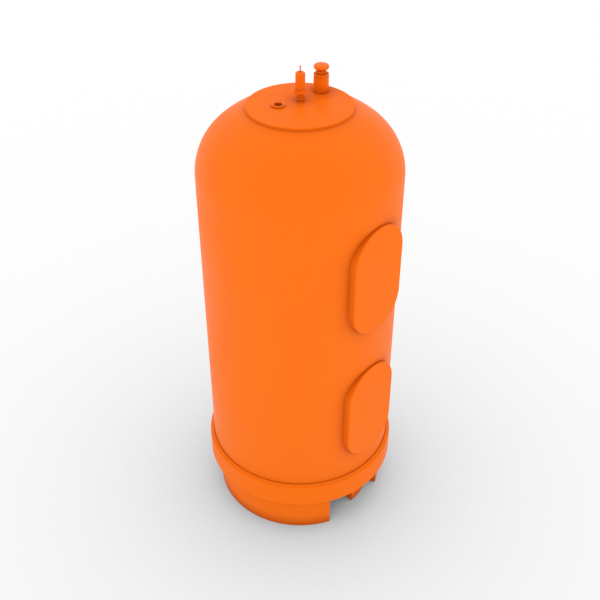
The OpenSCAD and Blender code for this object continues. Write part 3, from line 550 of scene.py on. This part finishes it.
moulded_jacket = material("moulded jacket", ORANGE, 0.5, mottle=0.02, mottle_scale=3.0, worn=PALE_ORANGE,
                          wear_share=0.35, bump=0.10, dimples=220.0, specular=0.08, painted_shade_colour=PAINTED_SHADE_ORANGE)
moulded_trim = material("moulded trim", ORANGE, 0.46, mottle=0.02, mottle_scale=7.0, worn=PALE_ORANGE,
                        wear_share=0.3, bump=0.10, dimples=300.0, specular=0.04, painted_shade_colour=PAINTED_SHADE_ORANGE)
powder_coat = material("powder coat", ORANGE, 0.38, mottle=0.03, mottle_scale=25.0, worn=PALE_ORANGE,
                       wear_share=0.6, wear_width=0.7 * MM, bump=0.18, dimples=700.0, grain=3000.0,
                       specular=0.08, painted_shade_colour=PAINTED_SHADE_ORANGE, painted_shade_share=0.65, painted_shade_reach=25 * MM)
brass = material("brass", (0.56, 0.36, 0.12), 0.3, metallic=1.0, mottle=0.18, mottle_scale=30.0,
                 worn=(0.8, 0.6, 0.28), skin="brushed", bump=0.15, bump_depth=0.05 * MM, dust=0.15)
stainless = material("stainless steel", (0.5, 0.5, 0.51), 0.26, metallic=1.0, mottle=0.1, mottle_scale=20.0,
                     skin="brushed", bump=0.2, bump_depth=0.05 * MM)
zinc_plate = material("zinc plate", (0.5, 0.52, 0.5), 0.36, metallic=1.0, mottle=0.25, mottle_scale=45.0,
                      worn=(0.75, 0.75, 0.74), skin="peel", bump=0.12, bump_depth=0.08 * MM, dimples=900.0)
copper = material("copper", (0.62, 0.25, 0.12), 0.3, metallic=1.0, mottle=0.2, mottle_scale=25.0,
                  skin="brushed", bump=0.12, bump_depth=0.05 * MM)
sprayed_foam = material("sprayed foam", (0.72, 0.56, 0.27), 0.85, mottle=0.25, mottle_scale=18.0, bump=0.9,
                        bump_depth=2.0 * MM, dimples=70.0, grain=400.0, grain_share=0.5)
wound_fibre = material("wound glass fibre", (0.5, 0.44, 0.22), 0.3, mottle=0.2, mottle_scale=12.0,
                       skin="brushed", stretch=(0.05, 0.05, 1), bump=0.6, bump_depth=0.6 * MM, coat=0.4)
liner_plastic = material("liner plastic", (0.62, 0.6, 0.52), 0.35, mottle=0.06, bump=0.1)
well_plastic = material("dark well plastic", (0.035, 0.035, 0.037), 0.55, mottle=0.3, mottle_scale=20.0,
                        worn=(0.12, 0.12, 0.12), dust=0.25, bump=0.25, dimples=900.0, grain=3500.0)
control_plastic = material("phenolic", (0.018, 0.014, 0.012), 0.42, mottle=0.3, mottle_scale=60.0,
                           worn=(0.1, 0.085, 0.075), dust=0.12, bump=0.15, dimples=1200.0, grain=4000.0)
dial_plastic = material("dial plastic", (0.6, 0.55, 0.42), 0.4, mottle=0.06, mottle_scale=60.0,
                        worn=(0.75, 0.72, 0.62), bump=0.06, dimples=1500.0)
red_plastic = material("red plastic", (0.45, 0.012, 0.01), 0.25, mottle=0.1, mottle_scale=90.0, coat=0.3,
                       bump=0.05, dimples=1200.0)
blue_plastic = material("blue plastic", (0.02, 0.06, 0.3), 0.4, mottle=0.1, bump=0.1)
white_plastic = material("white plastic", (0.72, 0.72, 0.68), 0.35, mottle=0.05, bump=0.06)
black_rubber = material("black rubber", (0.016, 0.016, 0.016), 0.7, mottle=0.4, mottle_scale=60.0,
                        bump=0.3, dimples=1500.0, dust=0.15)
black_insulation = material("black wire cover", (0.014, 0.014, 0.015), 0.38, mottle=0.2, bump=0.06)
blue_insulation = material("blue wire cover", (0.012, 0.04, 0.2), 0.38, mottle=0.2, bump=0.06)
red_insulation = material("red wire cover", (0.3, 0.012, 0.008), 0.38, mottle=0.2, bump=0.06)
lever_plastic = material("lever grip", (0.02, 0.02, 0.022), 0.45, mottle=0.2, mottle_scale=40.0,
                         worn=(0.1, 0.1, 0.1), bump=0.25, dimples=1100.0)

SLOT_MATERIALS = {
    "jacket": moulded_jacket, "jacket_trim": moulded_trim, "coated_metal": powder_coat, "brass": brass,
    "steel": stainless, "zinc_steel": zinc_plate, "copper": copper, "foam": sprayed_foam,
    "glass_fibre": wound_fibre, "liner_plastic": liner_plastic, "well_plastic": well_plastic,
    "control_plastic": control_plastic, "dial_plastic": dial_plastic, "red_plastic": red_plastic,
    "blue_plastic": blue_plastic, "white_plastic": white_plastic, "black_rubber": black_rubber,
    "wire_black": black_insulation, "wire_blue": blue_insulation, "wire_red": red_insulation,
    "lever_plastic": lever_plastic,
}

# Every node of the frame gets the material of its slot; the pieces below replace the ones that show most.
for part in frame["record"]["subparts"]:
    mesh = frame["nodes"][part["node"]].data
    mesh.materials.clear()
    mesh.materials.append(SLOT_MATERIALS[part["material_slot"]])
# ---- jacket, cap, bowl, foot ring and covers ---------------------------------------------------

def scaled(points, base=0.0):
    """Millimetre points of an outline as metres, with heights counted from the base."""
    return [(r * MM, base + z * MM) for r, z in points]


def dome_outline(inset):
    """Straight wall and dome, from the jacket's lower edge to the hole under the cap."""
    turn = math.degrees(math.acos((SHELL_R - SHOULDER_R) / (CROWN_R - SHOULDER_R)))
    crown_end = math.degrees(math.acos(CROWN_HOLE_R / (CROWN_R - inset)))
    return [*rings(SHELL_R - inset, shell_low.z, KNUCKLE_Z, 30),
            *arc(SHELL_R - SHOULDER_R, KNUCKLE_Z, SHOULDER_R - inset, 0, turn, 24)[1:],
            *arc(0, CROWN_Z, CROWN_R - inset, turn, crown_end, 12)[1:]]


def jacket():
    outer = dome_outline(0)
    piece = turned("jacket", [*outer, *reversed(dome_outline(SHELL_WALL)), outer[0]], FINE)
    cutter = stadium("cutter", WELL_W, WELL_H, -0.320, -0.240, UPPER_COVER_Z)
    other = stadium("cutter", WELL_W, WELL_H, -0.320, -0.240, LOWER_COVER_Z)
    gland_hole = place(rod("cutter", 0.014, 0.280, 0.320), (0, 0, GLAND_Z), (0, math.pi / 2, 0))
    combine(piece, join(cutter, other, gland_hole))
    return finished(piece, "heater", ["outer_shell"], moulded_jacket)


def top_cap():
    """Lid whose rounded rim rests on the dome, with a spigot down into the dome's hole."""
    under = CROWN_R + GAP
    spigot = CROWN_HOLE_R - 0.5 * MM
    rim = 2.5 * MM
    inner_end, outer_end = (math.degrees(math.acos(r / under)) for r in (spigot, CAP_R))
    outline = [(0, CAP_TOP - CAP_PLATE), (spigot, CAP_TOP - CAP_PLATE),
               *arc(0, CROWN_Z, under, inner_end, outer_end, 5),
               *arc(CAP_R - rim, CAP_TOP - rim, rim, 0, 90, 5), (0, CAP_TOP)]
    piece = turned("cap", outline, FINE)
    for (x, y), radius in ((HOT_PLACE, 19.3 * MM), (RELIEF_PLACE, 11.8 * MM), (COLD_PLACE, 13.3 * MM)):
        combine(piece, place(rod("cutter", radius, CAP_TOP - 0.05, CAP_TOP + 0.05), (x, y, 0)))
    return finished(piece, "heater", ["top_cap"], moulded_trim)


def base_bowl():
    lip = BAND_R - 8 * MM
    inner = SHELL_R + GAP
    low, top = bowl_low.z, bowl_high.z
    outline = [(0.020, low), *arc(BAND_R - 3 * MM, low + 3 * MM, 3 * MM, -90, 0, 5),
               *arc(lip, top - 14 * MM, 8 * MM, 0, 45, 5), (inner + 3 * MM, top - MM),
               (inner + 2.7 * MM, top - 0.4 * MM), (inner + 2 * MM, top), (inner + 0.4 * MM, top),
               (inner, top - 0.4 * MM), (inner, low + 10 * MM), (0.020, low + 10 * MM), (0.020, low)]
    piece = turned("bowl", outline, FINE)
    screw_hole = rod("cutter", 4.3 * MM, low - 0.01, low + 0.02, SMALL)
    holes = [place(copy_of(screw_hole, "cutter"), around(BASE_SCREW_R, 45 + 54 * i)) for i in range(6)]
    bpy.data.objects.remove(screw_hole)
    combine(piece, join(*holes))
    return finished(piece, "heater", ["base_bowl"], moulded_trim)


def around(radius, degrees, height=0.0):
    """Place at an angle from the front, -Y, towards +X."""
    angle = math.radians(degrees)
    return radius * math.sin(angle), -radius * math.cos(angle), height


def wedge(name, start, end, z1, z2):
    """Triangular prism from the axis outwards between two angles from the front towards +X."""
    deselect_all()
    bpy.ops.mesh.primitive_circle_add(vertices=3, radius=0.5, fill_type="NGON", location=(0, 0, z1))
    piece = bpy.context.object
    piece.name = name
    bpy.ops.object.transform_apply(location=True, rotation=True, scale=True)
    corners = [(0, 0, z1), around(0.5, end, z1), around(0.5, start, z1)]
    for vertex, corner in zip(piece.data.vertices, corners):
        vertex.co = corner
    bpy.ops.object.mode_set(mode="EDIT")
    bpy.ops.mesh.select_all(action="SELECT")
    extrude(dz=z2 - z1)
    leave_edit()
    return tidy_mesh(piece)


def foot_ring():
    """Closed ring with the drain opening cut right through on the left and a set-back wall on the right."""
    high = foot_high.z
    outline = [(FOOT_INNER_R, 0), (FOOT_R, 0), *rings(FOOT_R, 0.02, high, 4), (FOOT_INNER_R, high),
               (FOOT_INNER_R, 0)]
    piece = turned("foot", outline, FINE)
    combine(piece, wedge("cutter", -RECESS_HALF_ANGLE, 0, -0.05, 0.2))
    recess = wedge("cutter", -0.4, RECESS_HALF_ANGLE, -0.05, 0.2)
    combine(recess, rod("core", RECESS_R, -0.06, 0.21, FINE))
    combine(piece, recess)
    soften(piece, 1.2 * MM, 3, 50)
    return finished(piece, "heater", ["foot_ring"], moulded_trim)


def clip(name, z):
    """Flat tongue of a cover that springs into the jacket's opening, with its inner end hollowed."""
    deselect_all()
    bpy.ops.mesh.primitive_cube_add(size=1, scale=(0.030, 0.0295, 0.003), location=(0, -0.29075, z))
    tongue = bpy.context.object
    tongue.name = name
    bpy.ops.object.transform_apply(location=True, rotation=True, scale=True)
    edit(tongue)
    select_faces(tongue, lambda centre, normal: normal.y > 0.9)
    bpy.ops.mesh.inset(thickness=1.1 * MM)
    extrude(dy=-0.6 * MM)
    leave_edit()
    return soften(tongue, 0.5 * MM, 2, 40)


def access_cover(name, body, node, z):
    piece = soften(stadium(name, COVER_W, COVER_H, COVER_FACE_Y, -0.150, z, 160), 4 * MM, 6, 40)
    cavity = stadium("cavity", COVER_W - 6 * MM, COVER_H - 6 * MM, COVER_FACE_Y + 3 * MM, -0.140, z, 160)
    combine(piece, rod("drum", SHELL_R + GAP, z - 0.25, z + 0.25, 2 * FINE))
    combine(piece, soften(cavity, 2.5 * MM, 4, 40))
    clips = [clip(f"{name}_clip", z + side * CLIP_OFFSET) for side in (-1, 1)]
    join(piece, *clips)
    return finished(piece, body, [node], moulded_trim)


# ---- fittings on the cap -----------------------------------------------------------------------

def threaded_bore(name, radius, z1, z2, pitch, depth, steps=MEDIUM):
    """Cutter that leaves a threaded hole."""
    count = round((z2 - z1) / pitch * 7)
    cutter = turned(name, [(0, z1), *rings(radius, z1, z2, count), (0, z2)], steps)
    return cut_thread(cutter, radius, z1 - pitch, z2 + pitch, pitch, -depth)


def towards_outlet(piece, height):
    """Lays a shape made along Z down towards the valves' side outlets."""
    return place(piece, (0, 0, height), (0, math.pi / 2, OUTLET_ANGLE))


def hot_outlet():
    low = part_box("hot_outlet_spud")[0].z
    piece = turned("hot_outlet", [
        (0, low), (0.024, low), (0.024, low + 0.005), (0.017, low + 0.005),
        *scaled([(17, -6), (18.4, -6), (19, -5.4), *arc(18, 4, 1, 0, 90, 4), (0, 5)], CAP_TOP)])
    combine(piece, rod("cutter", 0.010, low - 0.01, CAP_TOP - 0.010))
    combine(piece, threaded_bore("cutter", 12.35 * MM, CAP_TOP - 0.019, CAP_TOP + 0.006, 1.81 * MM, 0.9 * MM))
    combine(piece, turned("cutter", scaled([(0, 3.2), (12.4, 3.2), (14.6, 5.4), (0, 5.4)], CAP_TOP)))
    place(piece, (*HOT_PLACE, 0))
    return finished(piece, "heater", ["hot_outlet_spud"], powder_coat)


def relief_valve_body():
    neck = [(11.5, -26), (11.5, 0.6), (11.1, 1), (9.5, 1)]
    for ring in (3, 13):
        neck += [(9.5, ring), (11, ring), (11.5, ring + 0.5), (11.5, ring + 5.9), (11, ring + 6.4),
                 (9.5, ring + 6.4)]
    piece = turned("relief_neck", scaled([(0, -26), *neck, (9.5, 24), (10, 26), (10, 38), (0, 38)], CAP_TOP))
    combine(piece, hexagon("nut", 19 * MM, CAP_TOP + 22 * MM, CAP_TOP + 32 * MM, 1.3 * MM), "UNION")
    combine(piece, rod("cutter", 6 * MM, CAP_TOP - 0.05, CAP_TOP + 0.05))
    place(piece, (*RELIEF_PLACE, 0))
    return finished(piece, "heater", ["relief_valve_body"], powder_coat)


def relief_valve_bonnet():
    piece = turned("relief_bonnet", scaled(
        [(0, 32), (13.1, 32), (13.5, 32.4), (13.5, 37), (12.9, 37.6), (12.9, 38.6), (13.5, 39.2),
         *arc(8.5, 76, 5, 0, 90, 7), (4.2, 81), (3.9, 80.4), (3.2, 80.4), (0, 80.4)], CAP_TOP))
    boss = rod("boss", 11.5 * MM, 0, 30 * MM, ease=0.8 * MM)
    combine(piece, towards_outlet(boss, CAP_TOP + 47 * MM), "UNION")
    combine(piece, turned("cutter", scaled([(0, 31), (10.1, 31), (10.1, 74), (9.1, 75), (1.8, 75), (1.8, 82),
                                            (0, 82)], CAP_TOP)))
    bore = threaded_bore("cutter", 8.3 * MM, 9 * MM, 31 * MM, 1.8 * MM, 0.8 * MM)
    combine(piece, towards_outlet(bore, CAP_TOP + 47 * MM))
    place(piece, (*RELIEF_PLACE, 0))
    return finished(piece, "heater", ["relief_valve_bonnet"], powder_coat)


def relief_valve_stem():
    piece = turned("relief_rod", scaled(
        [(0, 38.1), (8.1, 38.1), (8.5, 38.5), (8.5, 41.6), (8.1, 42), (1.75, 42), (1.75, 93.6),
         *arc(0.8, 95.1, 1.6, -60, 0, 4), *arc(0.8, 96.9, 1.6, 0, 90, 5), (0, 98.5)], CAP_TOP), SMALL)
    place(piece, (*RELIEF_PLACE, 0))
    return finished(piece, "relief_stem", ["relief_valve_stem"], powder_coat)


def cold_valve_body():
    piece = turned("cold_body", scaled(
        [(0, -24), (12.4, -24), (13, -23.4), (13, 0.1), *arc(20.5, 1.1, 1, -90, 0, 4), (21.5, 44.9),
         (20.4, 45.2), (20.3, 45.6), (20.3, 46.4), (20.4, 46.8), (21.5, 47.1), *arc(20, 50.5, 1.5, 0, 90, 5),
         (0, 52)], CAP_TOP))
    boss = rod("boss", 16 * MM, 0, 30 * MM, ease=1.0 * MM)
    combine(piece, towards_outlet(boss, CAP_TOP + 22 * MM), "UNION")
    combine(piece, turned("cutter", scaled([(0, -25), (8, -25), (8, 12), (15, 12), (15, 44), (12, 44),
                                            (12, 53), (0, 53)], CAP_TOP)))
    bore = threaded_bore("cutter", 11.7 * MM, 13.5 * MM, 31 * MM, 1.81 * MM, 0.9 * MM)
    combine(piece, towards_outlet(bore, CAP_TOP + 22 * MM))
    place(piece, (*COLD_PLACE, 0))
    return finished(piece, "heater", ["cold_valve_body"], powder_coat)


def packing_nut():
    nut = hexagon("packing_nut", 15 * MM, CAP_TOP + 52.05 * MM, CAP_TOP + 62 * MM, 1.0 * MM)
    combine(nut, rod("skirt", 11.9 * MM, CAP_TOP + 38 * MM, CAP_TOP + 53 * MM, ease=0.5 * MM), "UNION")
    combine(nut, rod("cutter", 4.05 * MM, CAP_TOP + 0.03, CAP_TOP + 0.07))
    place(nut, (*COLD_PLACE, 0))
    return finished(nut, "heater", ["cold_valve_packing_nut"], powder_coat)


def cold_valve_knob():
    """Mushroom knob with a plug in the middle of its dished top."""
    piece = turned("cold_knob", scaled(
        [(0, 62.4), (8.6, 62.4), (9, 62.7), (11.6, 64.6), (12.4, 64.9), (15.6, 64.9),
         *arc(16.5, 69.9, 5, -78, 0, 7), *arc(16.5, 71.8, 5, 0, 80, 7), (14, 77.1), (10.75, 77.5),
         (5.6, 77.8), (5.2, 77.4), (5.1, 76.9), (4.7, 76.9), (4.5, 77.6), (3.6, 77.9), (0, 78)], CAP_TOP))
    combine(piece, rod("cutter", 4 * MM, CAP_TOP + 0.05, CAP_TOP + 0.073))
    place(piece, (*COLD_PLACE, 0))
    return finished(piece, "cold_knob", ["cold_valve_knob"], powder_coat)


# ---- drain valve and cable gland ---------------------------------------------------------------

def along_drain(piece):
    """Lays a shape made along Z down along the drain pipe."""
    return place(piece, (0, 0, DRAIN_Z), (math.pi / 2, 0, -DRAIN_ANGLE))


def at_ball(piece):
    """Puts a shape made on the origin over the drain valve's ball, turned with the drain pipe."""
    x, y, _ = around(DRAIN_BALL_S, -math.degrees(DRAIN_ANGLE))
    return place(piece, (x, y, DRAIN_Z), (0, 0, -math.pi / 2 - DRAIN_ANGLE))


def drain_valve_body():
    ridges = []
    for i in range(6):
        s = 220 + 3 * i
        ridges += [(13, s - 0.2), (13.9, s + 0.3), (13.9, s + 1.1), (13, s + 1.6)]
    piece = turned("drain_body", scaled(
        [(0, 150), (13.6, 150), (13.6, 163), (19.2, 163), (20, 163.8), (20, 176), (19.4, 176.6),
         (19.4, 187.4), (20, 188), (20, 200.2), (19.2, 201), (14.4, 201), (13, 203), *ridges, (13, 239.4),
         (12.4, 240), (0, 240)]))
    nut = hexagon("nut", 16 * MM, 148 * MM, 163.4 * MM, 0.8 * MM)
    combine(nut, rod("cutter", 12.8 * MM, 0.147, 0.165))
    along_drain(nut)
    along_drain(piece)
    combine(piece, at_ball(turned("stem boss", scaled([(0, 0), (8, 0), (8, 22.2), (7.2, 23), (0, 23)]))),
            "UNION")
    passage = turned("cutter", scaled(
        [(0, 147), (12.1, 147), (12.1, 163), (9, 163), (9, 167.8), (14.4, 167.8), (14.4, 196.2),
         (8.5, 196.2), (8.5, 239), (9.6, 240.4), (0, 240.4)]))
    combine(piece, along_drain(passage))
    combine(piece, at_ball(rod("cutter", 4.05 * MM, 0, 30 * MM, SMALL)))
    join(piece, nut)
    return finished(piece, "heater", ["drain_valve_body"], brass)


def drain_lever():
    """Flat handle with a rounded end, raised grip ribs and a hexagonal nut on its hub."""
    piece = rod("drain_handle", 11 * MM, 24.5 * MM, 27.5 * MM, ease=0.7 * MM)
    deselect_all()
    bpy.ops.mesh.primitive_circle_add(vertices=64, radius=7.5 * MM, fill_type="NGON",
                                      location=(0, 0, 24.6 * MM))
    blade = bpy.context.object
    blade.name = "blade"
    bpy.ops.object.transform_apply(location=True, rotation=True, scale=True)
    bpy.ops.object.mode_set(mode="EDIT")
    select_vertices(blade, lambda co: co.y > -0.01 * MM)
    bpy.ops.transform.translate(value=(0, 48.5 * MM, 0))
    bpy.ops.mesh.select_all(action="SELECT")
    extrude(dz=2.8 * MM)
    leave_edit()
    combine(piece, soften(tidy_mesh(blade), 0.6 * MM, 3, 50), "UNION")
    combine(piece, hexagon("nut", 7 * MM, 27 * MM, 31.5 * MM, 0.6 * MM), "UNION")
    combine(piece, rod("cutter", 4 * MM, 20 * MM, 30.4 * MM, SMALL))
    rib = place(rod("rib", 0.9 * MM, -5 * MM, 5 * MM, 24, ease=0.6 * MM), turn=(0, math.pi / 2, 0))
    ribs = [copy_of(rib, "rib", (0, (28 + 4 * i) * MM, 27.3 * MM)) for i in range(6)]
    bpy.data.objects.remove(rib)
    join(piece, *ribs)
    at_ball(piece)
    return finished(piece, "drain_lever", ["drain_valve_lever"], lever_plastic)


def supply_gland():
    """Cable gland: a hexagonal nut and a rounded mouth outside the jacket, and a flange inside."""
    piece = turned("cable_gland", scaled(
        [(0, 288), (17.4, 288), (18, 288.6), (18, 294.4), (17.4, 295), (13.7, 295), (13.7, 306.4),
         *arc(12.2, 306.5, 1.5, 0, 90, 4), (0, 308)]))
    combine(piece, hexagon("nut", 19 * MM, 300.5 * MM, 305 * MM, 0.8 * MM), "UNION")
    combine(piece, turned("cutter", scaled([(0, 287), (9.5, 287), (9.5, 307), (10.6, 308.2), (0, 308.2)])))
    place(piece, (0, 0, GLAND_Z), (0, math.pi / 2, 0))
    return finished(piece, "heater", ["supply_gland"], moulded_trim)


jacket()
top_cap()
base_bowl()
foot_ring()
access_cover("cover_upper", "upper_cover", "upper_access_cover", UPPER_COVER_Z)
access_cover("cover_lower", "lower_cover", "lower_access_cover", LOWER_COVER_Z)
hot_outlet()
relief_valve_body()
relief_valve_bonnet()
relief_valve_stem()
cold_valve_body()
packing_nut()
cold_valve_knob()
drain_valve_body()
drain_lever()
supply_gland()




# ---- floor, light and camera -------------------------------------------------------------------

def pale_floor():
    """White floor that glows as evenly as the sky and is grey where the heater hides that sky from it."""
    deselect_all()
    bpy.ops.mesh.primitive_circle_add(vertices=128, radius=60, fill_type="NGON")
    floor = bpy.context.object
    floor.name = "floor"
    paint = bpy.data.materials.new("pale floor")
    paint.use_nodes = True
    tree = paint.node_tree
    tree.nodes.remove(tree.nodes["Principled BSDF"])
    open_sky = tree.nodes.new("ShaderNodeAmbientOcclusion")
    open_sky.samples = 8
    open_sky.inputs["Distance"].default_value = 20
    glow = tree.nodes.new("ShaderNodeEmission")
    path = tree.nodes.new("ShaderNodeLightPath")
    level = range_node(tree, path.outputs["Is Camera Ray"], 0, 1, SKY_STRENGTH, 1)
    tree.links.new(level, glow.inputs["Strength"])
    tree.links.new(open_sky.outputs["AO"], glow.inputs["Color"])
    tree.links.new(glow.outputs["Emission"], tree.nodes["Material Output"].inputs["Surface"])
    floor.data.materials.append(paint)


def studio_light():
    world = bpy.data.worlds.new("studio")
    bpy.context.scene.world = world
    world.use_nodes = True
    background = world.node_tree.nodes["Background"]
    background.inputs["Color"].default_value = (1, 1, 1, 1)
    background.inputs["Strength"].default_value = SKY_STRENGTH


def aim(thing, target):
    thing.rotation_euler = (Vector(target) - thing.location).to_track_quat("-Z", "Y").to_euler()


def front_camera():
    azimuth, elevation = math.radians(CAMERA_AZIMUTH), math.radians(CAMERA_ELEVATION)
    level = CAMERA_DISTANCE * math.cos(elevation)
    data = bpy.data.cameras.new("camera")
    data.lens = CAMERA_LENS_MM
    data.sensor_width = 36
    camera = bpy.data.objects.new("camera", data)
    bpy.context.scene.collection.objects.link(camera)
    camera.location = (level * math.sin(azimuth), -level * math.cos(azimuth),
                       CAMERA_TARGET_HEIGHT + CAMERA_DISTANCE * math.sin(elevation))
    aim(camera, (0, 0, CAMERA_TARGET_HEIGHT))
    bpy.context.scene.camera = camera


pale_floor()
studio_light()
front_camera()
bpy.context.scene.view_settings.view_transform = "Standard"
